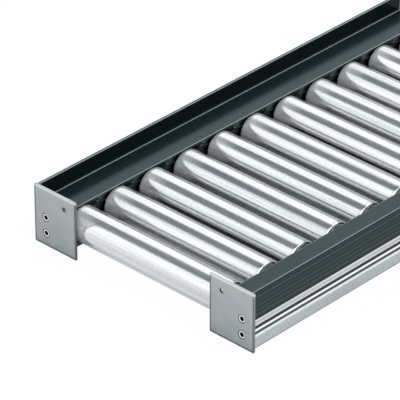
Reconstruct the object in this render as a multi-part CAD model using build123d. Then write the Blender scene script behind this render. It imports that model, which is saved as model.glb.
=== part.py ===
"""Roller conveyor track: two side rails, black guide covers, four end plates and a row of rollers.

Millimetres. X runs across the track, Y along it and Z up. The origin is on the floor,
under the middle of the track. The left rail is at -X and the front end plates are at -Y.
"""

import math
import os

from build123d import *

# Track
roller_count = 11
roller_pitch = 66.66667
overall_width = 396.0

# End plates
plate_width = 77.0
plate_height = 89.0
plate_thickness = 3.0
plate_proud = 3.0
plate_hole_radius = 3.3
attachment_hole_inset = 56.0
attachment_hole_height = 70.5

# Places of the M6 screws that hold each end plate, and the square ports they cut into
screw_inset = 21.0
lower_screw_height = 19.5
upper_screw_height = 43.5
screw_port_width = 5.5

# Side rail extrusion
rail_foot_gap = 3.5
rail_shoulder_height = 48.3
rail_outer_wall = 4.6
rail_floor = 3.0
rail_inner_wall = 3.0
rail_inner_face_inset = 50.0
rail_toe_inset = 57.0
rail_toe_width = 3.2
rail_toe_height = 5.5
rail_edge_chamfer = 0.6
trough_floor_height = 26.0
trough_floor_thickness = 2.5
tongue_thickness = 1.8
tongue_play = 0.05
tongue_height = 30.0
channel_wall = 2.0
channel_rib = 2.0

# Grooves along the rail's outer face: upper edge, lower edge and depth of each
deep_groove_top = 38.0
deep_groove_height = 7.4
deep_groove_depth = 3.0
shallow_groove_top = 29.0
shallow_groove_height = 6.0
shallow_groove_depth = 1.8
groove_lip = 1.5
hairline_height = 19.4
hairline_width = 0.8

# Guide cover extrusion
cover_top = 88.7
cover_rim_width = 5.0
cover_skirt_wall = 1.4
cover_inner_wall = 1.6
cover_roof = 1.8
cover_skirt_gap = 0.9
ledge_height = 65.0
ledge_thickness = 2.0
ledge_edge_inset = 56.7
ledge_edge_radius = 0.8
leg_thickness = 2.0
leg_length = 14.4
rim_edge_radius = 0.9
skirt_line_depth = 0.4
skirt_line_width = 1.0
skirt_line_heights = (80.1, 67.2, 60.5, 53.8)

# Rollers, with the gap between each tube end and the rail beside it
roller_radius = 25.0
roller_crown_drop = 3.3
tube_wall = 1.5
left_tube_gap = 3.5
right_tube_gap = 17.5
tube_shoulder = 4.0
bearing_recess = 1.2
bearing_length = 10.0
bearing_running_clearance = 0.05
axle_flats = 11.0
axle_end_overhang = 3.0
axle_fit = 0.05
hub_flats = 17.0
hub_play = 0.3

# How far a cut runs on past the wall that it opens
cut_overrun = 1.0

# Cross ties
tie_thickness = 8.0
tie_height = 25.0
tie_bottom = 14.0
tie_gaps = (2, 6, 9)

# Derived places
track_length = roller_count * roller_pitch
front = -track_length / 2
back = track_length / 2
half_width = overall_width / 2
ledge_underside = ledge_height - ledge_thickness
axle_height = ledge_height - roller_crown_drop - roller_radius
tube_bore = roller_radius - tube_wall
rail_face = half_width - rail_inner_face_inset
tube_start = left_tube_gap - rail_face
tube_end = rail_face - right_tube_gap
LEFT = -1
RIGHT = 1


def across(side, inset):
    """X of a place that lies the given distance in from the track's outer edge."""
    return side * (half_width - inset)


def corner_radius(flats):
    """Corner radius of a hexagon from its size across flats."""
    return flats / math.sqrt(3)


def hexagon(flats, x):
    """Hexagon across the track at x, centred on the Y and Z axes, with upright flats."""
    radius = corner_radius(flats)
    turns = [math.radians(90 + 60 * i) for i in range(6)]
    return Polyline([(x, radius * math.cos(t), radius * math.sin(t)) for t in turns], close=True)


def section(side, outline):
    """Face across the rail from a list of (inset, height) corners."""
    return make_face(Polyline([(across(side, s), 0, z) for s, z in outline], close=True))


def block(side, inner, outer, low, high):
    """Rectangle of a rail section, between two insets and two heights."""
    return section(side, [(outer, low), (inner, low), (inner, high), (outer, high)])


def along(face, start, end):
    """Extrude a section along the track between two Y places."""
    return Pos(0, start, 0) * extrude(face, amount=end - start, dir=(0, 1, 0))


def roller_y(index):
    """Y of a roller's axis, counted from 0 at the front."""
    return front + (index + 0.5) * roller_pitch


def side_profile(side):
    """Aluminium rail: a closed box below, an open trough for the axle ends above."""
    outer = plate_proud
    wall = outer + rail_outer_wall
    inner_face = rail_inner_face_inset
    inner_back = inner_face - rail_inner_wall
    bottom = rail_foot_gap
    trough = trough_floor_height
    trough_top = trough + trough_floor_thickness
    rib_outer = screw_inset - channel_rib / 2
    rib_inner = screw_inset + channel_rib / 2
    port = screw_port_width / 2
    boss = port + channel_wall
    tongue_outer = outer + cover_skirt_wall + tongue_play

    shape = block(side, outer, rail_toe_inset, bottom, bottom + rail_floor)
    shape += block(side, outer, wall, bottom, rail_shoulder_height)
    tongue_top = rail_shoulder_height + tongue_height
    shape += block(side, tongue_outer, tongue_outer + tongue_thickness, bottom, tongue_top)
    shape += block(side, wall, inner_face, trough, trough_top)
    shape += block(side, inner_back, inner_face, bottom, ledge_underside)
    toe = rail_toe_inset - rail_toe_width
    shape += block(side, toe, rail_toe_inset, bottom, bottom + rail_toe_height)
    shape += block(side, rib_outer, rib_inner, bottom, upper_screw_height)
    for height in (lower_screw_height, upper_screw_height):
        near, far = screw_inset - boss, screw_inset + boss
        shape += block(side, near, far, height - boss, height + boss)
    for height in (lower_screw_height, upper_screw_height):
        near, far = screw_inset - port, screw_inset + port
        shape -= block(side, near, far, height - port, height + port)
    shape -= outer_grooves(side)
    rail = along(shape, front + plate_thickness, back - plate_thickness)
    return rail - axle_slots(side)


def outer_grooves(side):
    """Two undercut grooves, a hairline groove and the edge chamfers of the rail's outer face."""
    outer = plate_proud
    grooves = []
    rows = (
        (deep_groove_top, deep_groove_height, deep_groove_depth),
        (shallow_groove_top, shallow_groove_height, shallow_groove_depth),
    )
    for top, height, depth in rows:
        floor = outer + depth
        corners = [(outer, top), (floor, top), (floor, top - groove_lip), (outer, top - height)]
        grooves.append(section(side, corners))
    half = hairline_width / 2
    low, high = hairline_height - half, hairline_height + half
    grooves.append(section(side, [(outer, low), (outer + half, hairline_height), (outer, high)]))
    cut = rail_edge_chamfer
    for height, step in ((rail_foot_gap, cut), (rail_shoulder_height, -cut)):
        corners = [(outer, height), (outer + cut, height), (outer, height + step)]
        grooves.append(section(side, corners))
    return grooves


def axle_slots(side):
    """Open slots in the rail's inner wall, shaped to the lower half of the hexagonal axles."""
    flats = axle_flats + 2 * axle_fit
    half = flats / 2
    point = corner_radius(flats)
    top = ledge_underside + cut_overrun
    back_of_wall = across(side, rail_inner_face_inset - rail_inner_wall - cut_overrun)
    front_of_wall = across(side, rail_inner_face_inset + cut_overrun)
    corners = [(-half, top), (-half, axle_height - point / 2), (0, axle_height - point)]
    corners += [(half, axle_height - point / 2), (half, top)]
    x = min(back_of_wall, front_of_wall)
    slot = make_face(Polyline([(x, y, z) for y, z in corners], close=True))
    slot = extrude(slot, amount=abs(front_of_wall - back_of_wall), dir=(1, 0, 0))
    return [Pos(0, roller_y(i), 0) * slot for i in range(roller_count)]


def guide_cover(side):
    """Black cover: a hollow guide wall over the rail's tongue, a flat ledge and an inner leg."""
    outer = plate_proud
    inner = outer + cover_rim_width
    skirt = rail_shoulder_height + cover_skirt_gap
    leg = rail_inner_face_inset
    leg_bottom = ledge_underside - leg_length
    outline = [
        (outer, skirt),
        (outer, cover_top),
        (inner, cover_top),
        (inner, ledge_height),
        (ledge_edge_inset, ledge_height),
        (ledge_edge_inset, ledge_underside),
        (leg + leg_thickness, ledge_underside),
        (leg + leg_thickness, leg_bottom),
        (leg, leg_bottom),
        (leg, ledge_underside),
        (inner - cover_inner_wall, ledge_underside),
        (inner - cover_inner_wall, cover_top - cover_roof),
        (outer + cover_skirt_wall, cover_top - cover_roof),
        (outer + cover_skirt_wall, skirt),
    ]
    shape = section(side, outline)
    rim = shape.vertices().group_by(Axis.Z)[-1]
    shape = fillet(rim, rim_edge_radius)
    ledge_edge = 0 if side == RIGHT else -1
    edge = shape.vertices().group_by(Axis.X)[ledge_edge]
    shape = fillet(edge, ledge_edge_radius)
    half = skirt_line_width / 2
    for height in skirt_line_heights:
        shape -= section(
            side,
            [(outer, height - half), (outer + skirt_line_depth, height), (outer, height + half)],
        )
    return along(shape, front + plate_thickness, back - plate_thickness)


def end_plate(side, end):
    """Steel plate across the end of a rail, with two screw holes and an empty attachment hole."""
    inward = 1 if end == front else -1
    blank = Pos(0, end, 0) * block(side, plate_width, 0, 0, plate_height)
    plate = extrude(blank, amount=plate_thickness, dir=(0, inward, 0))
    hole = Cylinder(plate_hole_radius, 3 * plate_thickness, rotation=(90, 0, 0))
    places = [
        (attachment_hole_inset, attachment_hole_height),
        (screw_inset, lower_screw_height),
        (screw_inset, upper_screw_height),
    ]
    for inset, height in places:
        plate -= Pos(across(side, inset), end, height) * hole
    return plate


def revolved(outline):
    """Solid of revolution about the X axis from a list of (x, radius) corners."""
    face = make_face(Polyline([(x, 0, r) for x, r in outline], close=True))
    return revolve(face, axis=Axis.X)


def roller_tube():
    """Steel tube with its ends rolled in to the bore, lying along X on the origin."""
    x0, x1 = tube_start, tube_end
    outline = [
        (x0, tube_bore),
        (x0 + tube_shoulder, roller_radius),
        (x1 - tube_shoulder, roller_radius),
        (x1, tube_bore),
    ]
    return revolved(outline)


def bearing(side):
    """Bearing unit that grips the axle: the tube turns on its rim, its hub meets the rail."""
    mouth = tube_start if side == LEFT else tube_end
    outside = mouth - side * bearing_recess
    inside = outside - side * bearing_length
    rim = tube_bore - bearing_running_clearance
    disc = revolved([(outside, 0), (outside, rim), (inside, rim), (inside, 0)])
    wall = across(side, rail_inner_face_inset)
    hub = make_face(hexagon(hub_flats, outside))
    hub = extrude(hub, amount=abs(wall - outside) - hub_play, dir=(side, 0, 0))
    bore = make_face(hexagon(axle_flats + 2 * axle_fit, wall))
    bore = extrude(bore, amount=abs(wall - inside), dir=(-side, 0, 0))
    return disc + hub - bore


def axle():
    """Fixed hexagonal bar that lies in the slots of both rails."""
    end = across(RIGHT, rail_inner_face_inset - rail_inner_wall - axle_end_overhang)
    return extrude(make_face(hexagon(axle_flats, -end)), amount=2 * end, dir=(1, 0, 0))


def tie_bar(gap):
    """Upright flat bar between the rails, in the gap after the roller of that number."""
    half = across(RIGHT, rail_inner_face_inset)
    y = front + gap * roller_pitch
    bar = Box(2 * half, tie_thickness, tie_height, align=(Align.CENTER, Align.CENTER, Align.MIN))
    return Pos(0, y, tie_bottom) * bar


def write(name, pieces):
    """Write one node to its own file."""
    solids = pieces if isinstance(pieces, list) else [pieces]
    shape = solids[0] if len(solids) == 1 else Compound(children=solids)
    export_step(shape, f"parts/{name}.step")


os.makedirs("parts", exist_ok=True)

places = [Pos(0, roller_y(index), axle_height) for index in range(roller_count)]

for side, word in ((LEFT, "left"), (RIGHT, "right")):
    write(f"{word}_side_profile", side_profile(side))
    write(f"{word}_guide_cover", guide_cover(side))
    write(f"front_{word}_end_plate", end_plate(side, front))
    write(f"rear_{word}_end_plate", end_plate(side, back))
    unit = bearing(side)
    write(f"{word}_bearings", [place * unit for place in places])

tube = roller_tube()
bar = axle()
for number, place in enumerate(places, start=1):
    write(f"roller_{number:02d}_tube", place * tube)
    write(f"roller_{number:02d}_axle", place * bar)

for number, gap in enumerate(tie_gaps, start=1):
    write(f"tie_bar_{number}", tie_bar(gap))
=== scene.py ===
# %% [markdown]
# # A roller conveyor track
# The track is already modelled and packed: rails, covers, plates, axles and rollers sit where they
# belong, in metres. This lesson dresses it. Some packed pieces stay and only get a finish. Others,
# such as the roller tubes, are drawn again as smooth surfaces that show their rounded shoulders.

# %% Load the packed track
import bmesh
import bpy
import numpy as np
from math import cos, pi, radians, sin
from mathutils import Matrix, Vector


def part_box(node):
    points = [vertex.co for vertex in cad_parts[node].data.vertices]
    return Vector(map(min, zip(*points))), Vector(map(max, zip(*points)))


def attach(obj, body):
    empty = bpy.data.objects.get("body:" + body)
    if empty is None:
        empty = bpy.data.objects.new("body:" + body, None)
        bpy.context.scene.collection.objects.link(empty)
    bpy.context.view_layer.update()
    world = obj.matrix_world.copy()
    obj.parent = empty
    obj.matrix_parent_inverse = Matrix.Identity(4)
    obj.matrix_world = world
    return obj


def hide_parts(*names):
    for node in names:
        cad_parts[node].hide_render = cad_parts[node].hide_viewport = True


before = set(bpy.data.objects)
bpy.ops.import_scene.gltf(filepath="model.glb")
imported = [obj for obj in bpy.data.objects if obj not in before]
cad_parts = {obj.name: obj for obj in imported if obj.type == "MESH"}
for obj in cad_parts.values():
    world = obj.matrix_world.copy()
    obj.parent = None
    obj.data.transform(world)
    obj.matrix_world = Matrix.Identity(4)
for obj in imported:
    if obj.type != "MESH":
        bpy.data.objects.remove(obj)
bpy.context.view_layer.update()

# %% [markdown]
# ## The places that the new pieces share
# Every new piece is placed from the packed ones, so it can't drift away from them. The boxes of a
# few nodes give the rollers' axes, the tubes' ends and the plates' faces.

# %% Read the rollers' places
MM = 0.001
low, high = (np.array(corner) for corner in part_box("roller_01_tube"))
tube_start, tube_end = low[0], high[0]
roller_radius = (high[2] - low[2]) / 2
axle_height = (high[2] + low[2]) / 2
roller_names = sorted(name.removesuffix("_tube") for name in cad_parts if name.endswith("_tube"))
roller_places = [float(sum(c[1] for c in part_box(name + "_tube")) / 2) for name in roller_names]
print("rollers", len(roller_places), "radius", round(roller_radius, 4))

# %% Read the places of the plates, covers and rails
low, high = (np.array(corner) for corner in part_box("front_left_end_plate"))
half_width, front, plate_thickness = -low[0], low[1], high[1] - low[1]
plate_width, plate_height = high[0] - low[0], high[2]
low, high = (np.array(corner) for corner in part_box("left_guide_cover"))
cover_foot, cover_top = low[2], high[2]
rail_face = -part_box("left_bearings")[0][0]
print("half width", round(half_width, 4), "cover from", round(cover_foot, 4), "to", round(cover_top, 4))

# %% [markdown]
# ## The camera
# The photo was taken from far away with a long lens, so the track's parallel edges stay almost
# parallel. The place and the direction come from its straight edges.

# %% Set the camera
azimuth, elevation = radians(43.475), radians(31.467)
camera_place = (2.7653, -3.17335, 2.55648)
picture_pixels, focal_pixels = 400, 3609.5
back = Vector((sin(azimuth) * cos(elevation), -cos(azimuth) * cos(elevation), sin(elevation)))
lens = bpy.data.cameras.new("photo_lens")
lens.sensor_width = 36.0
lens.lens = focal_pixels / picture_pixels * lens.sensor_width
lens.clip_end = 100.0
camera = bpy.data.objects.new("photo_camera", lens)
camera.matrix_world = Matrix.Translation(camera_place) @ back.to_track_quat("Z", "Y").to_matrix().to_4x4()
bpy.context.scene.collection.objects.link(camera)
bpy.context.scene.camera = camera
print("focal length", round(lens.lens, 1), "mm")

# %% [markdown]
# ## Shader sums written as sums
# A finish is a small calculation: noise times a strength, plus a base value. Blender keeps each
# step as a node. This class wraps a socket, so that a step can be written as a + b instead.

# %% A socket that can be added and multiplied
class Wire:
    """An output socket of a shader tree; an operator on it adds a Math node."""

    def __init__(self, tree, socket):
        self.tree, self.socket = tree, socket

    def math(self, operation, a, b=None):
        values = {0: a} if b is None else {0: a, 1: b}
        return self.tree.node("ShaderNodeMath", {"operation": operation, "use_clamp": False}, values)

    def __add__(self, other):
        return self.math("ADD", self, other)

    def __sub__(self, other):
        return self.math("SUBTRACT", self, other)

    def __rsub__(self, other):
        return self.math("SUBTRACT", other, self)

    def __mul__(self, other):
        return self.math("MULTIPLY", self, other)

    __radd__ = __add__
    __rmul__ = __mul__

    def size(self):
        return self.math("ABSOLUTE", self)

    def clamped(self):
        return self.math("MAXIMUM", self.math("MINIMUM", self, 1.0), 0.0)

    def near(self, value, width):
        """1 where this equals the value, falling to 0 at the width on both sides."""
        return (1.0 - (self - value).size() * (1.0 / width)).clamped()

    def above(self, value, width):
        """0 up to the value, rising to 1 over the width."""
        return ((self - value) * (1.0 / width)).clamped()

    def below(self, value, width):
        """0 from the value on, rising to 1 over the width before it."""
        return ((value - self) * (1.0 / width)).clamped()


print("a wire has", ", ".join(name for name in vars(Wire) if not name.startswith("_")))

# %% [markdown]
# ## One way to make a node
# Materials and the world both hold a tree of nodes. One method adds any node to a tree: it sets the
# node's settings first, because they decide which sockets it has, and then its values and links.

# %% A tree of nodes
class Tree:
    """The node tree of a material or of the world; node() adds any node to it."""

    def __init__(self, tree):
        self.nodes, self.links = tree.nodes, tree.links

    def feed(self, node, values):
        for key, value in values.items():
            if isinstance(value, Wire):
                self.links.new(value.socket, node.inputs[key])
            else:
                node.inputs[key].default_value = value

    def node(self, kind, settings, values, output=0):
        made = self.nodes.new(kind)
        for key, value in settings.items():
            if key == "stops":
                marks = made.color_ramp.elements
                while len(marks) < len(value):
                    marks.new(1.0)
                for mark, (place, colour) in zip(marks, value):
                    mark.position, mark.color = place, colour
            else:
                setattr(made, key, value)
        self.feed(made, values)
        return Wire(self, made.outputs[output])


print("a tree has", ", ".join(name for name in vars(Tree) if not name.startswith("_")))

# %% [markdown]
# ## A finish
# A finish is a material whose colour, roughness and relief change over the piece. It is drawn on
# Object coordinates, so it stays on the piece when a roller turns. Some marks follow the track's
# shape. They are placed by the distance from the track's side or from the plates' outer faces.

# %% A material made from a tree
class Finish(Tree):
    """A material with one Principled shader."""

    def __init__(self, name, **sockets):
        self.material = bpy.data.materials.new(name)
        self.material.use_nodes = True
        super().__init__(self.material.node_tree)
        self.shader = self.nodes["Principled BSDF"]
        self.feed(self.shader, {key.replace("_", " "): value for key, value in sockets.items()})

    def place(self):
        return self.node("ShaderNodeTexCoord", {}, {}, "Object")

    def noise(self, scale, detail=3.0, roughness=0.6):
        """A pattern on stretched coordinates: a small number along an axis draws it out."""
        spot = self.node("ShaderNodeMapping", {}, {"Vector": self.place(), "Scale": scale})
        values = {"Vector": spot, "Scale": 1.0, "Detail": detail, "Roughness": roughness}
        return self.node("ShaderNodeTexNoise", {}, values)

    def axis(self, name):
        """One of the object's own coordinates, in metres."""
        return self.node("ShaderNodeSeparateXYZ", {}, {"Vector": self.place()}, name)

    def inset(self):
        """Distance inwards from the track's nearer side."""
        return half_width - self.axis("X").size()

    def depth(self):
        """Distance inwards from the nearer end plates' outer faces."""
        return -front - self.axis("Y").size()

    def blend(self, factor, dark, light):
        return self.node("ShaderNodeMix", {"data_type": "RGBA"}, {0: factor, 6: dark, 7: light}, 2)

    def wear(self, colour, roughness, height, depth):
        """Lead what changes over the surface to the shader."""
        relief = self.node("ShaderNodeBump", {}, {"Height": height, "Distance": depth, "Strength": 1.0})
        self.feed(self.shader, {"Base Color": colour, "Roughness": roughness, "Normal": relief})
        return self.material


def grey(value, blue=0.0):
    """A near-grey colour with a little blue and less green in it, opaque."""
    return (value, value * (1 + blue * 0.7), value * (1 + blue), 1.0)


def soft_lines(coordinate, places):
    """The sum of soft lines; each place holds a distance and a reach in millimetres and a strength."""
    total = 0.0
    for distance, reach, strength in places.values():
        total = coordinate.near(distance * MM, reach * MM) * strength + total
    return total


print("a pale blue grey is", [round(value, 3) for value in grey(0.8, 0.1)])

# %% [markdown]
# ## Drawn aluminium
# A rail is pressed through a die, which leaves very fine lines along its whole length, and is then
# anodised, which turns the gloss into satin. The noise below is drawn out along Y by giving it a
# small scale there. Shade is painted as soft dark lines in the grooves, under the cover and at the
# foot, and highlights are painted as soft bright lines on the lips between the grooves; both lie at
# set distances below the cover's foot. The inner walls by the rollers are painted darker as shade.

# %% The finish of the rails and ties
# Painted shade: soft dark lines in the grooves, under the cover and at the foot.
rail_shades = {
    "joint under the cover": (0.6, 2.0, 2.0),
    "middle of the deep groove": (14.1, 2.4, 2.0),
    "lower side of the deep groove": (15.8, 1.4, 1.2),
    "shallow groove": (22.8, 2.0, 1.5),
    "scribed line": (29.2, 0.6, 0.5),
    "foot": (44.6, 1.4, 1.6),
}
# Painted highlights: soft bright lines on the lips between the grooves.
rail_painted_lights = {
    "upper band": (2.6, 1.8, 1.0),
    "upper lip of the deep groove": (10.1, 1.6, 1.0),
    "lip between the grooves": (17.8, 1.6, 1.0),
    "lip under the shallow groove": (26.6, 2.4, 1.0),
}
shaded_wall = 49.0 * MM


def anodised(name):
    """Tone = lines, clouds and painted highlights, less the painted shade; the walls by the rollers are
    painted darker.
    """
    finish = Finish(name, Metallic=1.0)
    lines = finish.noise((900, 3, 900))
    clouds = finish.noise((18, 6, 18), 2.0)
    drop = cover_foot - finish.axis("Z")
    # Painted shade and painted highlights, as soft lines below the cover's foot.
    painted_groove_shade = soft_lines(drop, rail_shades).clamped()
    painted_lip_light = soft_lines(drop, rail_painted_lights)
    tone = (lines * 0.35 + clouds * 0.15 + 0.34 + painted_lip_light * 0.55).clamped() * (1.0 - painted_groove_shade * 0.97)
    # Painted shade: the inner walls by the rollers are made darker.
    tone = tone * (finish.inset().below(shaded_wall, 2.0 * MM) * 0.75 + 0.25)
    colour = finish.blend(tone.clamped(), grey(0.024, 0.25), grey(0.84, 0.07))
    return finish.wear(colour, 0.20 + lines * 0.14, lines, 0.00004)


rail_finish = anodised("anodised_aluminium_satin")
print("rail finish has", len(rail_finish.node_tree.nodes), "nodes")

# %% [markdown]
# ## Zinc plated tube
# The rollers are the brightest pieces. Drawing and plating leave lengthwise streaks of different
# brightness. Three noises of different width, all drawn out along X, make hair-thin scratches,
# streaks and bands. A fourth, not drawn out, makes the coat's fine specks, and a broad fifth one
# makes the surface sway a little, so that no reflection is ruler straight. A thin dark line at each
# end marks where the tube is rolled in. The left ends mirror a dark wall in the photo's view and
# yet stay pale there, as dulled zinc does, so the metallic share falls off towards them.

# %% The finish of the roller tubes
seam_inset, seam_reach = 4.2 * MM, 0.9 * MM
dull_share, dull_length = 0.40, 45.0 * MM


def plated_tube(name):
    """Tone = the weighted sum of four noises, set to run from dark to light, less the end seams."""
    finish = Finish(name)
    hair = finish.noise((6, 1500, 1500), 2.0)
    streak = finish.noise((2.5, 260, 260), 3.0)
    band = finish.noise((1.2, 70, 70), 2.0)
    speck = finish.noise((500, 900, 900), 1.0)
    sway = finish.noise((0.8, 14, 14), 1.0)
    x = finish.axis("X")
    seam = x.near(tube_start + seam_inset, seam_reach) + x.near(tube_end - seam_inset, seam_reach)
    tone = (band * 1.3 + streak * 1.3 + hair * 0.7 + speck * 1.0 - 1.58).clamped() * (1.0 - seam * 0.9)
    colour = finish.blend(tone, grey(0.46, 0.13), grey(0.79))
    finish.feed(finish.shader, {"Metallic": x.above(tube_start, dull_length) * 0.55 + dull_share})
    grain = hair * 0.3 + streak * 0.8 + speck * band * 3.0 + sway * 40.0
    return finish.wear(colour, 0.07 + streak * 0.12 + speck * 0.08, grain, 0.00005)


tube_finish = plated_tube("zinc_plated_tube")
print("tube finish has", len(tube_finish.node_tree.nodes), "nodes")

# %% [markdown]
# ## Dark covers
# The covers are smooth extruded plastic, almost black with a little blue-green. They are glossy
# enough to mirror their own guide wall. Faint lines along their length come from the die. Pale
# highlights are painted on the corners, rims, ribs and the ledge's edge, and shade is painted on the
# upright faces and the inner leg, so they look darker than the ledge. Insets are measured from the
# track's side and drops from the cover's top.

# %% The finish of the covers
near_rim, far_rim, rim_drop = 4.8 * MM, 6.8 * MM, 0.7 * MM
wall_inset, face_inset = 8.0 * MM, 3.7 * MM
corner_inset, corner_drop = 9.4 * MM, 23.7 * MM
ledge_inset, ledge_drop = 56.2 * MM, 23.9 * MM
leg_inset, leg_drop = 48.0 * MM, 25.8 * MM
# Painted highlights: bright lines on the ribs of the outer face and on the inner leg.
rib_highlight_lines = {
    "first rib": (8.6, 0.7, 1.0),
    "fine line under it": (14.7, 0.4, 0.3),
    "second rib": (21.5, 0.7, 0.7),
    "third rib": (28.2, 0.7, 0.7),
    "fourth rib": (34.9, 0.7, 1.0),
}
leg_highlight_lines = {"upper line": (30.7, 0.6, 1.0), "lower line": (38.7, 0.6, 1.0)}
skin_dark, skin_light = (0.0008, 0.0024, 0.003, 1), (0.0126, 0.028, 0.033, 1)
# The second colour is the pale colour of the painted highlights on rims, corners, ribs and the ledge's
# edge.
gloss_tint, edge_highlight_colour = (0.42, 0.90, 1.0, 1), (0.39, 0.46, 0.47, 1)


def slate(name):
    """Skin tone = lines and clouds, with painted shade on the upright faces and the leg; painted
    highlights on rims, corner, ledge's edge and ribs are laid over it.
    """
    finish = Finish(name, Metallic=0.0, Specular_IOR_Level=0.30, Specular_Tint=gloss_tint)
    lines = finish.noise((1200, 2, 1200), 2.0)
    clouds = finish.noise((25, 4, 25), 2.0)
    across, inset, drop = finish.axis("X"), finish.inset(), cover_top - finish.axis("Z")
    wall, face = inset.near(wall_inset, 1.5 * MM), inset.below(face_inset, 0.4 * MM)
    leg = drop.above(leg_drop, 0.5 * MM) * inset.above(leg_inset, 1.0 * MM)
    # Painted shade: the upright wall, the outer face and the inner leg are made darker.
    tone = (lines * 0.7 + clouds * 0.3).clamped() * (1.0 - (wall * 0.9 + face * 0.8 + leg).clamped())
    skin_and_painted_shade = finish.blend(tone, skin_dark, skin_light)
    # Painted highlights along the rims, the wall's corner, the ledge's edge and the ribs.
    rim_highlights = (half_width - across).near(near_rim, 0.6 * MM) * 1.2
    rim_highlights = rim_highlights + (across + half_width).near(far_rim, 1.0 * MM)
    corner = inset.near(corner_inset, 1.4 * MM) * drop.near(corner_drop, 0.4 * MM)
    ledge_highlight = inset.near(ledge_inset, 0.9 * MM) * drop.near(ledge_drop, 1.0 * MM) * 0.8
    rib_highlights = soft_lines(drop, rib_highlight_lines) * face * 0.28 + soft_lines(drop, leg_highlight_lines) * leg * 0.25
    painted_cover_highlights = corner + rim_highlights * drop.below(rim_drop, 0.5 * MM) + ledge_highlight + rib_highlights
    colour = finish.blend(painted_cover_highlights.clamped(), skin_and_painted_shade, edge_highlight_colour)
    return finish.wear(colour, 0.13 + lines * 0.12, lines, 0.00002)


cover_finish = slate("slate_cover_gloss")
print("cover finish has", len(cover_finish.node_tree.nodes), "nodes")

# %% [markdown]
# ## Sheet steel plates
# The plates have an even, slightly mottled zinc coat, with shade painted so that they are paler
# towards the top, and a highlight painted along the top edge. Their cut sides are darker, from their
# bare steel and from painted shade, and shade is painted on the strips beside them and along the
# bottom. The inner faces, which the rollers mirror, are painted plain and pale as if lit.

# %% The finish of the plates and of their holes' walls
# A dark colour for bare cut edges and painted shade, a painted highlight for the top edge, and a pale
# inner face painted as if lit.
bare_edge_and_shade, painted_top_highlight, pale_painted_inner_face = grey(0.03, 0.3), grey(0.67, 0.05), grey(0.75, 0.05)


def plated_sheet(name, dark, light, rough):
    """Tone = grain, clouds and painted shade towards the bottom; dark lines of bare cut edge and painted
    shade, a painted highlight at the top, a pale painted inner face.
    """
    finish = Finish(name)
    grain = finish.noise((700, 700, 700), 2.0)
    clouds = finish.noise((35, 35, 60), 3.0)
    inset, depth, z = finish.inset(), finish.depth(), finish.axis("Z")
    # Dark lines: bare steel on the cut sides, and painted shade on the strips beside them and along the
    # bottom.
    outer_side = inset.below(0.4 * MM, 0.2 * MM) * depth.above(1.7 * MM, 0.6 * MM)
    inner_side = inset.near(plate_width, 0.4 * MM) * depth.above(0.07 * MM, 0.2 * MM) * 2.0
    painted_shade_strips = inset.near(1.3 * MM, 1.9 * MM) + inset.near(plate_width - 1.2 * MM, 1.8 * MM)
    edge = outer_side + inner_side + painted_shade_strips + z.near(0.8 * MM, 3.2 * MM)
    # Painted shade: darker towards the bottom, paler towards the top.
    tone = (grain * 0.20 + clouds * 0.45 + 0.02 + z.above(0.0, plate_height) * 0.45).clamped()
    colour = finish.blend(tone, grey(dark, 0.15), grey(light, 0.13))
    colour = finish.blend((edge * 1.5).clamped() * 0.7, colour, bare_edge_and_shade)
    # Painted highlight along the top edge.
    colour = finish.blend(z.near(plate_height - 1.8 * MM, 2.6 * MM), colour, painted_top_highlight)
    outside = depth.below(plate_thickness - 0.13 * MM, 0.2 * MM)
    # The inner face is painted pale as if lit.
    colour = finish.blend(outside, pale_painted_inner_face, colour)
    finish.feed(finish.shader, {"Metallic": outside * 0.55 + 0.20})
    return finish.wear(colour, rough + grain * 0.12, grain, 0.00002)


plate_finish = plated_sheet("zinc_plated_sheet", 0.22, 0.40, 0.34)
# The holes' walls get dark colours as painted shade.
hole_finish = plated_sheet("hole_wall_painted_shade", 0.02, 0.07, 0.4)
print("plate finish has", len(plate_finish.node_tree.nodes), "nodes")

# %% [markdown]
# ## Axles, screws and bearing units
# Axles and screws are drawn or turned steel. The end plates' screws shine at their faces, and shade
# is painted dark into their sockets and round their heads. The bearing units are moulded plastic,
# matt and nearly black.

# %% The finishes of bars and small steel pieces
def drawn_bar(name, dark, light, metallic=1.0):
    finish = Finish(name, Metallic=metallic)
    lines = finish.noise((8, 900, 900), 2.0)
    colour = finish.blend(lines, grey(dark, 0.02), grey(light, 0.02))
    return finish.wear(colour, 0.26 + lines * 0.2, lines, 0.00003)


axle_finish = drawn_bar("drawn_axle_steel", 0.28, 0.51)
ring_finish = drawn_bar("bright_bearing_ring", 0.63, 0.79, metallic=0.5)
small_screw_finish = drawn_bar("dull_screw_steel", 0.05, 0.16)
print("finishes made:", len(bpy.data.materials))


# %% The finishes of the sunk screws and the moulded housings
def sunk_metal(name):
    """Bright at the plate's face, with shade painted dark into the socket and round the head."""
    finish = Finish(name, Metallic=0.9)
    grain = finish.noise((900, 900, 900), 2.0)
    # Painted shade: dark in the socket and round the head.
    unshaded_face = finish.depth().below(0.67 * MM, 0.4 * MM)
    colour = finish.blend(unshaded_face, grey(0.01, 0.1), grey(0.85, 0.03))
    return finish.wear(colour, 0.30 + grain * 0.14, grain, 0.00003)


def moulded(name, dark, light):
    finish = Finish(name, Metallic=0.0)
    grain = finish.noise((1500, 1500, 1500), 2.0)
    colour = finish.blend(grain, grey(dark, 0.1), grey(light, 0.1))
    return finish.wear(colour, 0.42 + grain * 0.2, grain, 0.00005)


screw_finish = sunk_metal("plated_screws")
bearing_finish = moulded("black_bearing_plastic", 0.006, 0.02)
print("finishes made:", len(bpy.data.materials))

# %% [markdown]
# ## Surfaces from arrays
# Each new piece is a grid of points. Rows follow a profile and columns go round, so a mesh needs
# only the array of points: the faces join each point to its neighbours.

# %% Turn a grid of points into a piece
SHARP = 35.0


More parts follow.
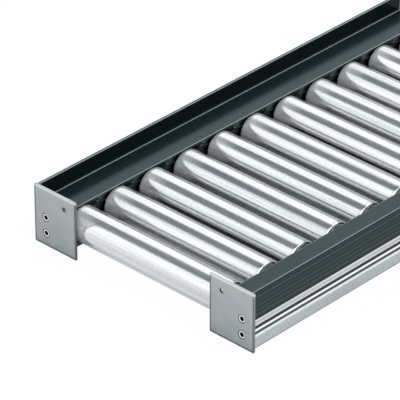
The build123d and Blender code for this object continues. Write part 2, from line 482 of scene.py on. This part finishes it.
def quads(rows, columns):
    """Four-sided faces between neighbouring rows; the last column joins the first."""
    row, column = np.meshgrid(np.arange(rows - 1), np.arange(columns), indexing="ij")
    after = (column + 1) % columns
    this_row, next_row = row * columns, (row + 1) * columns
    face_corners = [this_row + column, this_row + after, next_row + after, next_row + column]
    return np.stack(face_corners, axis=-1).reshape(-1, 4)


def piece(name, grids, finish, body):
    """One object from several grids of points, closed where points meet, with faces outwards."""
    points, faces, count = [], [], 0
    for grid in grids:
        points.append(grid.reshape(-1, 3))
        faces.append(quads(*grid.shape[:2]) + count)
        count += grid.shape[0] * grid.shape[1]
    mesh = bpy.data.meshes.new(name)
    mesh.from_pydata(np.concatenate(points).tolist(), [], np.concatenate(faces).tolist())
    shape = bmesh.new()
    shape.from_mesh(mesh)
    bmesh.ops.remove_doubles(shape, verts=shape.verts, dist=1e-7)
    bmesh.ops.recalc_face_normals(shape, faces=shape.faces)
    shape.to_mesh(mesh)
    shape.free()
    mesh.polygons.foreach_set("use_smooth", np.ones(len(mesh.polygons), bool))
    mesh.set_sharp_from_angle(angle=radians(SHARP))
    made = bpy.data.objects.new(name, mesh)
    bpy.context.scene.collection.objects.link(made)
    mesh.materials.append(finish)
    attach(made, body)
    return made


print("a grid of 3 rows and 4 columns has", len(quads(3, 4)), "faces")

# %% [markdown]
# ## Profiles
# Tubes, rings and screws are turned pieces: a profile goes once round a line. A socket or a hub
# isn't round, so a radius in a profile may also change with the angle.

# %% Turn a profile round a line along X
ROUND = np.arange(96) * 2 * pi / 96


def hexagon(flats):
    """Distance from the middle to a hexagon's edge, for each angle; its corners point up and down."""
    return flats / 2 / np.cos((ROUND + pi / 6) % (pi / 3) - pi / 6)


def turned(profile, y, z):
    """Surface about a line along X. Each profile entry is (x, radius); a radius may be an array
    over the angle. A point is (x, y + radius cos a, z + radius sin a)."""
    x = np.array([p[0] for p in profile])[:, None] + 0 * ROUND
    r = np.array([p[1] + 0 * ROUND for p in profile])
    return np.stack([x, y + r * np.cos(ROUND), z + r * np.sin(ROUND)], axis=-1)


def arc(centre_x, centre_r, reach_x, reach_r, start, end, steps):
    """Profile points on part of an ellipse, from one angle in degrees to another."""
    a = np.radians(np.linspace(start, end, steps))
    return list(zip(centre_x + reach_x * np.cos(a), centre_r + reach_r * np.sin(a)))


print("one ring has", len(ROUND), "points")

# %% [markdown]
# ## Roller tubes
# A roller is a thin tube whose ends are rolled in round the bearing unit. The rolled edge is what
# catches the light, so the profile follows it as a quarter of an ellipse, then turns inwards over
# a small lip and runs back through the bore.

# %% Make the tubes
wall = 1.5 * MM
lip_radius = roller_radius - 2.8 * MM
shoulder = 4.6 * MM
lip_reach, lip_drop, lip_width = 0.7 * MM, 0.4 * MM, 1.15 * MM


def tube_profile():
    """Closed profile: left shoulder, barrel, right shoulder, right lip, bore and left lip."""
    bore = roller_radius - wall
    rise = roller_radius - lip_radius
    left = arc(tube_start + shoulder, lip_radius, -shoulder, rise, 0, 90, 12)
    right = arc(tube_end - shoulder, lip_radius, shoulder, rise, 90, 0, 12)
    barrel = [(x, roller_radius) for x in np.linspace(left[-1][0], right[0][0], 7)[1:-1]]
    right_lip = arc(tube_end - lip_reach, lip_radius - lip_drop, lip_reach, lip_drop, 0, -90, 5)
    left_lip = arc(tube_start + lip_reach, lip_radius - lip_drop, -lip_reach, lip_drop, -90, 0, 5)
    inside = [(tube_end - lip_width, bore), (tube_start + lip_width, bore)]
    return left + barrel + right + right_lip + inside + left_lip + left[:1]


for name, y in zip(roller_names, roller_places):
    grids = [turned(tube_profile(), y, axle_height)]
    tube = piece(name + "_tube_skin", grids, tube_finish, name)
    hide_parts(name + "_tube")
print("tubes:", len(roller_names), "with", len(tube.data.polygons), "faces each")

# %% [markdown]
# ## Bearing units
# Looking into a roller's end one sees a black plastic housing with a groove round it, a bright
# steel ring, and a dished middle from which a hexagonal hub reaches to the rail.

# %% The profile of a housing
hub = hexagon(17.0 * MM)
axle_bore = hexagon(11.1 * MM)
recess, unit_length = 1.2 * MM, 10.0 * MM
running_gap, rim_chamfer = 0.05 * MM, 0.3 * MM


def housing_profile(side, mouth):
    """Closed profile, from the rim over the outer face and the hub back through the hexagonal
    bore. Each station is (depth behind the outer face, radius)."""
    rim = roller_radius - wall - running_gap
    face = mouth - side * recess
    outside = [(unit_length, axle_bore), (unit_length, rim), (rim_chamfer, rim), (0.0, rim - rim_chamfer)]
    groove = [(0.0, 22.7 * MM), (1.6 * MM, 22.5 * MM), (1.6 * MM, 21.5 * MM), (0.0, 21.3 * MM)]
    dish = [(0.0, 17.2 * MM), (2.2 * MM, 15.4 * MM), (2.6 * MM, 11.5 * MM), (2.2 * MM, hub)]
    profile = [(face - side * depth, radius) for depth, radius in outside + groove + dish]
    return profile + [(side * rail_face, hub), (side * rail_face, axle_bore), profile[0]]


print("a housing's profile has", len(housing_profile(-1, tube_start)), "points")

# %% [markdown]
# ## Bearing rings
# The outer ring of the bearing shows as a bright line in the dark housing. A ring with an oval
# section that stands a little proud is enough, because only its front can be seen.

# %% Make the housings and the bright rings
ring_radius, ring_depth = 20.2 * MM, 0.1 * MM
ring_reach, ring_rise = 1.0 * MM, 0.9 * MM


def ring_profile(side, mouth):
    """A round steel band that stands a little proud of the housing's face."""
    face = mouth - side * recess
    band = arc(ring_depth, ring_radius, ring_reach, ring_rise, 0, 360, 13)
    return [(face + side * depth, radius) for depth, radius in band]


for side, word, mouth in ((-1, "left", tube_start), (1, "right", tube_end)):
    grids = [turned(housing_profile(side, mouth), y, axle_height) for y in roller_places]
    housings = piece(word + "_bearing_housings", grids, bearing_finish, "track_frame")
    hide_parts(word + "_bearings")
    grids = [turned(ring_profile(side, mouth), y, axle_height) for y in roller_places]
    piece(word + "_bearing_rings", grids, ring_finish, "track_frame")
print("bearing units:", 2 * len(roller_places))

# %% [markdown]
# ## End plates
# A plate is cut from sheet, so its long edges are slightly rounded and catch a bright line. The
# outline is carried over a small rounding at the outer face, and runs plain to the inner one.

# %% The shape of a plate
corner_radius, edge_radius = 1.6 * MM, 0.45 * MM


def rounded_outline(inset):
    """X and Z of a rounded rectangle, drawn in by an inset; 12 points to each corner."""
    inner = [plate_width - 2 * corner_radius, plate_height - 2 * corner_radius]
    centres = np.array([(1, 1), (0, 1), (0, 0), (1, 0)]) * inner + corner_radius
    turns = np.radians(np.linspace(0, 90, 12))[None, :] + np.arange(4)[:, None] * pi / 2
    radius = corner_radius - inset
    x = centres[:, :1] + radius * np.cos(turns)
    z = centres[:, 1:] + radius * np.sin(turns)
    return x.ravel(), z.ravel()


def plate_grid(side, end):
    """Rings of the outline: a rounded edge at the outer face, a chamfer at the inner face. The
    first and the last ring shrink to the middle of a face and close it."""
    turns = np.radians(np.linspace(0, 90, 5))
    steps = [(edge_radius * (1 - sin(a)), edge_radius * (1 - cos(a))) for a in turns]
    steps = steps + [(0.0, plate_thickness - edge_radius), (edge_radius, plate_thickness)]
    grid = []
    for inset, depth in steps:
        x, z = rounded_outline(inset)
        grid.append(np.stack([side * (half_width - x), 0 * x + end * (-front - depth), z], axis=-1))
    first, last = (ring.mean(axis=0) + 0 * ring for ring in (grid[0], grid[-1]))
    return np.array([first] + grid + [last])


print("a plate's outline has", len(rounded_outline(0.0)[0]), "points")

# %% [markdown]
# ## Holes in the plates
# Two countersinks take the screws, and one plain hole stays empty. A closed turned shape is taken
# out of the plate for each, by a Boolean modifier whose result is kept. The hole's walls take the
# material of the shape that cut them, so shade can be painted dark on them.

# %% The shape of the holes
screw_inset, screw_heights = 21.0 * MM, (19.5 * MM, 43.5 * MM)
sink_radius, shank_hole_radius = 6.4 * MM, 3.4 * MM
hole_inset, hole_height, hole_radius, hole_chamfer = 56.0 * MM, 70.5 * MM, 3.3 * MM, 0.3 * MM
overrun = 1 * MM


def around_y(profile, x, z, end):
    """Surface about a line along Y at a plate. Each entry is (depth below the outer face, radius)."""
    depth = np.array([p[0] for p in profile])[:, None] + 0 * ROUND
    r = np.array([p[1] + 0 * ROUND for p in profile])
    return np.stack([x + r * np.cos(ROUND), end * (-front - depth), z + r * np.sin(ROUND)], axis=-1)


def knife_profile(mouth_radius, depth, radius):
    """A cone from the outer face down to a depth, then a bore; it overruns the plate on both sides."""
    below = plate_thickness + overrun
    above = [(-overrun, 0), (-overrun, mouth_radius + overrun), (0, mouth_radius)]
    return above + [(depth, radius), (below, radius), (below, 0)]


sink = knife_profile(sink_radius, plate_thickness, shank_hole_radius)
drill = knife_profile(hole_radius + hole_chamfer, hole_chamfer, hole_radius)
print("points in a countersink's profile:", len(sink), "and in a plain hole's:", len(drill))

# %% Cut the holes and replace the plates
def cut(target, grids):
    """Take closed shapes out of a piece."""
    knife = piece("knife", grids, hole_finish, "track_frame")
    modifier = target.modifiers.new("holes", "BOOLEAN")
    modifier.operation, modifier.solver, modifier.object = "DIFFERENCE", "EXACT", knife
    modifier.material_mode = "TRANSFER"
    bpy.context.view_layer.update()
    result = bpy.data.meshes.new_from_object(target.evaluated_get(bpy.context.evaluated_depsgraph_get()))
    target.modifiers.clear()
    target.data = result
    bpy.data.objects.remove(knife)
    result.set_sharp_from_angle(angle=radians(SHARP))


for end, end_word in ((-1, "front"), (1, "rear")):
    for side, word in ((-1, "left"), (1, "right")):
        name = f"{end_word}_{word}_end_plate"
        plate = piece(name + "_skin", [plate_grid(side, end)], plate_finish, "track_frame")
        x = side * (half_width - screw_inset)
        holes = [around_y(sink, x, z, end) for z in screw_heights]
        holes.append(around_y(drill, side * (half_width - hole_inset), hole_height, end))
        cut(plate, holes)
        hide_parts(name)
print("plate faces:", len(plate.data.polygons))

# %% [markdown]
# ## Screws
# The end plate screws are countersunk M6 with a hexagon socket. Each profile runs from the bottom
# of the socket over the head to the end of the shank.

# %% Make the countersunk screws
socket = hexagon(6.2 * MM)
socket_depth, shank_length = 2.4 * MM, 17 * MM
# Each station is (depth below the plate's outer face, radius).
socket_and_face = [
    (socket_depth + 0.2 * MM, 0 * ROUND), (socket_depth, socket), (0.85 * MM, socket),
    (0.30 * MM, 3.75 * MM), (0.20 * MM, 4.4 * MM), (0.40 * MM, 5.2 * MM), (1.1 * MM, 5.3 * MM),
]
shank = [
    (plate_thickness, 3.3 * MM), (shank_length - 1 * MM, 2.7 * MM),
    (shank_length, 2.0 * MM), (shank_length, 0 * ROUND),
]
grids = []
for end in (-1, 1):
    for side in (-1, 1):
        x = side * (half_width - screw_inset)
        grids += [around_y(socket_and_face + shank, x, z, end) for z in screw_heights]
piece("end_plate_screws", grids, screw_finish, "track_frame")
print("countersunk screws:", len(grids))

# %% [markdown]
# ## Cover screws
# Small pan head screws hold the inner leg of each cover to the rail, one in the middle of every
# gap between rollers.

# %% Make the small screws in the covers' legs
leg_face, leg_height = half_width - 52.0 * MM, 52.6 * MM
pan_radius, pan_reach, pan_bite = 3.0 * MM, 1.9 * MM, 1.5 * MM
gaps = [(y + after) / 2 for y, after in zip(roller_places, roller_places[1:])]
shoulder_arc = arc(0.0, 0.0, pan_reach, pan_radius, 90, 62, 3)
crown_arc = arc(0.2 * MM, 0.0, pan_reach - 0.2 * MM, pan_radius, 55, 25, 5)
slot_stations = [(1.5 * MM, 1.2 * MM), (0.6 * MM, 1.0 * MM), (0.6 * MM, 0.0)]
pan = [(-pan_bite, 0.0), (-pan_bite, pan_radius)] + shoulder_arc + crown_arc + slot_stations
for side, word in ((-1, "left"), (1, "right")):
    profile = [(side * (leg_face - reach), radius) for reach, radius in pan]
    grids = [turned(profile, y, leg_height) for y in gaps]
    piece(word + "_cover_screws", grids, small_screw_finish, "track_frame")
print("cover screws:", 2 * len(gaps))

# %% [markdown]
# ## Finishes for the packed pieces that stay
# Rails, covers, axles and ties already have the right shape, so they keep it and only change
# their finish. Each of them has one material slot or more, and all of them take the new finish.

# %% Dress the packed pieces
def dress(names, finish):
    for name in names:
        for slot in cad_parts[name].material_slots:
            slot.material = finish
    print(len(names), "pieces get", finish.name)


ties = sorted(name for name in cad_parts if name.startswith("tie_bar"))
dress(["left_side_profile", "right_side_profile"] + ties, rail_finish)
dress(["left_guide_cover", "right_guide_cover"], cover_finish)
dress([name + "_axle" for name in roller_names], axle_finish)

# %% [markdown]
# ## The floor
# The floor is pale paint. To the camera it glows almost white, and keeps a soft trace of the
# track's shadow. Shiny metal sees it glow beside the track, but sees plain paint under the track,
# where a real floor lies in shade.

# %% Make the floor
reach, fade = 12.0, 30.0 * MM
seen_white, mirrored_white = 0.97, 0.89


def floor_finish(name):
    """Paint mixed with a white glow. The kind of ray sets the glow's share, and mirrored rays
    find none of it under the track."""
    finish = Finish(name, Base_Color=grey(0.82, 0.05), Roughness=0.9)
    rays = [f"Is {ray} Ray" for ray in ("Camera", "Glossy", "Transmission")]
    camera_ray, glossy, through = (finish.node("ShaderNodeLightPath", {}, {}, ray) for ray in rays)
    glow = finish.node("ShaderNodeEmission", {}, {"Color": (1, 1, 1, 1), "Strength": 1.0})
    paint = Wire(finish, finish.shader.outputs[0])
    beside = finish.inset().below(0.0, fade) + finish.depth().below(0.0, fade)
    share = (camera_ray + through) * seen_white + glossy * beside.clamped() * mirrored_white
    mixed = finish.node("ShaderNodeMixShader", {}, {0: share.clamped(), 1: paint, 2: glow})
    finish.feed(finish.nodes["Material Output"], {"Surface": mixed})
    return finish.material


floor_mesh = bpy.data.meshes.new("floor")
floor_corners = [(-reach, -reach, 0), (reach, -reach, 0), (reach, reach, 0), (-reach, reach, 0)]
floor_mesh.from_pydata(floor_corners, [], [(0, 1, 2, 3)])
floor = bpy.data.objects.new("floor", floor_mesh)
bpy.context.scene.collection.objects.link(floor)
floor_mesh.materials.append(floor_finish("white_floor"))
print("floor reaches", reach, "m each way")

# %% [markdown]
# ## The surround
# A catalogue photo of shiny metal is made between white and dark boards, because what a tube
# mirrors draws its bands. A tube lies along X, so the direction it mirrors turns in Y and Z from
# one side of the tube to the other. The boards are stops of a ramp on that direction's Y. To the
# camera the surround is plain white.

# %% Make the surround
# Each board edge is a place along Y, from 0 in front to 1 behind, and the brightness there.
boards = (
    (0.0, 1.0), (0.096, 1.0), (0.116, 1.42), (0.31, 1.42), (0.34, 0.30), (0.61, 0.30),
    (0.64, 1.46), (0.87, 1.46), (0.905, 0.53),
)


def board_colour(value):
    """Bright boards are near white and dark ones a little blue."""
    return (value * (0.74 + 0.173 * value), value * (0.90 + 0.071 * value), value, 1)


world = bpy.data.worlds.new("studio")
bpy.context.scene.world = world
world.use_nodes = True
sky = Tree(world.node_tree)
spot = sky.node("ShaderNodeTexCoord", {}, {}, "Generated")
along = sky.node("ShaderNodeSeparateXYZ", {}, {"Vector": spot}, "Y") * 0.5 + 0.5
stops = [(place, board_colour(value)) for place, value in boards]
shade = sky.node("ShaderNodeValToRGB", {"stops": stops}, {"Fac": along})
surround = sky.node("ShaderNodeBackground", {}, {"Color": shade, "Strength": 1.0})
white = sky.node("ShaderNodeBackground", {}, {"Color": (1, 1, 1, 1)})
to_camera = sky.node("ShaderNodeLightPath", {}, {}, "Is Camera Ray")
mixed = sky.node("ShaderNodeMixShader", {}, {0: to_camera, 1: surround, 2: white})
sky.feed(sky.nodes["World Output"], {"Surface": mixed})
print("board edges:", len(boards))

# %% [markdown]
# ## Lamps
# Two large soft lamps light the plates and the covers. They stand where the tubes don't mirror
# them towards the camera, so the bands on the tubes come from the boards alone.

# %% Light the track
def lamp(name, place, size, power):
    """A square soft lamp that looks at the middle of the track."""
    light = bpy.data.lights.new(name, "AREA")
    light.shape, light.size, light.energy = "SQUARE", size, power
    made = bpy.data.objects.new(name, light)
    turn = Vector(place).to_track_quat("Z", "Y").to_matrix().to_4x4()
    made.matrix_world = Matrix.Translation(place) @ turn
    bpy.context.scene.collection.objects.link(made)


lamp("key", (1.5, -0.7, 2.3), 2.0, 18)
lamp("side", (1.2, -3.2, 1.5), 1.8, 38)
bpy.context.scene.view_settings.view_transform = "Standard"
print("lamps:", len(bpy.data.lights))

# %% [markdown]
# ## Finish
